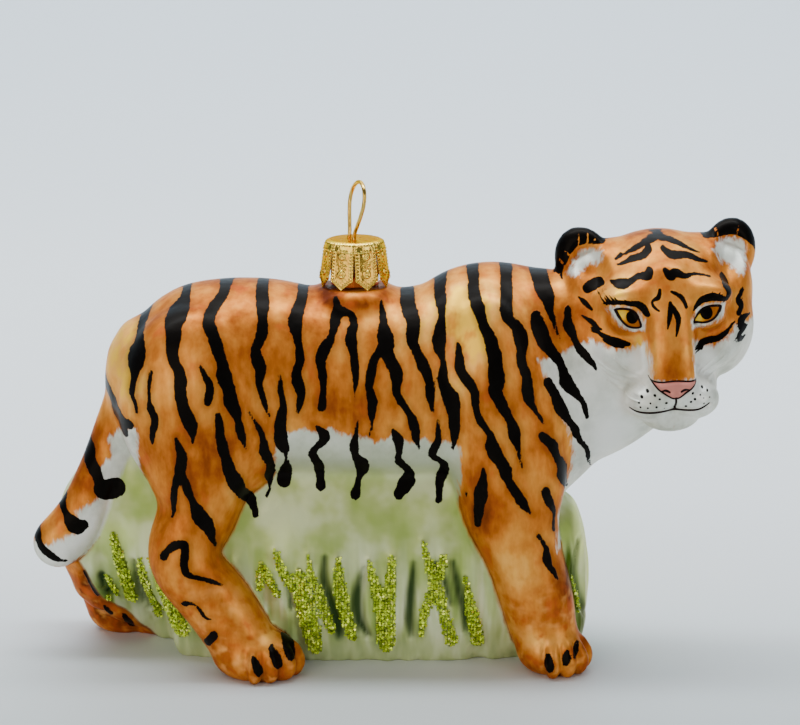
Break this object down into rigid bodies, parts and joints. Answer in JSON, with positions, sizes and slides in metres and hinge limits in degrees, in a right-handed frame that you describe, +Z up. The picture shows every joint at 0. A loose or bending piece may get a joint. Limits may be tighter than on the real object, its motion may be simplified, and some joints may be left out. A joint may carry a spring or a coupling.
{
  "type": "glass christmas ornament",
  "caption": "Blown-glass hanging ornament: a painted tiger standing in grass, its head turned to the side, with a crown cap and a wire loop.",
  "frame": {"origin": "on the table under the middle of the ornament's bounding box", "axes": "+X towards the tiger's chest, +Y towards its left side (the head looks towards -Y), +Z up"},
  "size_m": [0.1396, 0.0441, 0.0931],
  "materials": {
    "orange_lacquer": "silvered inside, translucent orange lacquer, satin gloss, black enamel stripes",
    "green_lacquer": "silvered inside, frosted pale green lacquer with glitter blades",
    "eye_enamel": "gloss amber and black enamel",
    "nose_enamel": "gloss pink enamel with a black outline",
    "silvered_glass": "bare silvered glass tube, under the cap",
    "gold_stamping": "stamped thin sheet, bright gold",
    "gold_wire": "bright gold wire"
  },
  "bodies": {
    "root": {"trunk": "orange_lacquer", "neck": "orange_lacquer", "head": "orange_lacquer", "ear_right": "orange_lacquer", "ear_left": "orange_lacquer", "eye_right": "eye_enamel", "eye_left": "eye_enamel", "nose": "nose_enamel", "tail": "orange_lacquer", "foreleg_right": "orange_lacquer", "foreleg_left": "orange_lacquer", "hindleg_right": "orange_lacquer", "hindleg_left": "orange_lacquer", "grass": "green_lacquer", "glass_neck": "silvered_glass", "cap": "gold_stamping", "hanger": "gold_wire"}
  },
  "joints": []
}
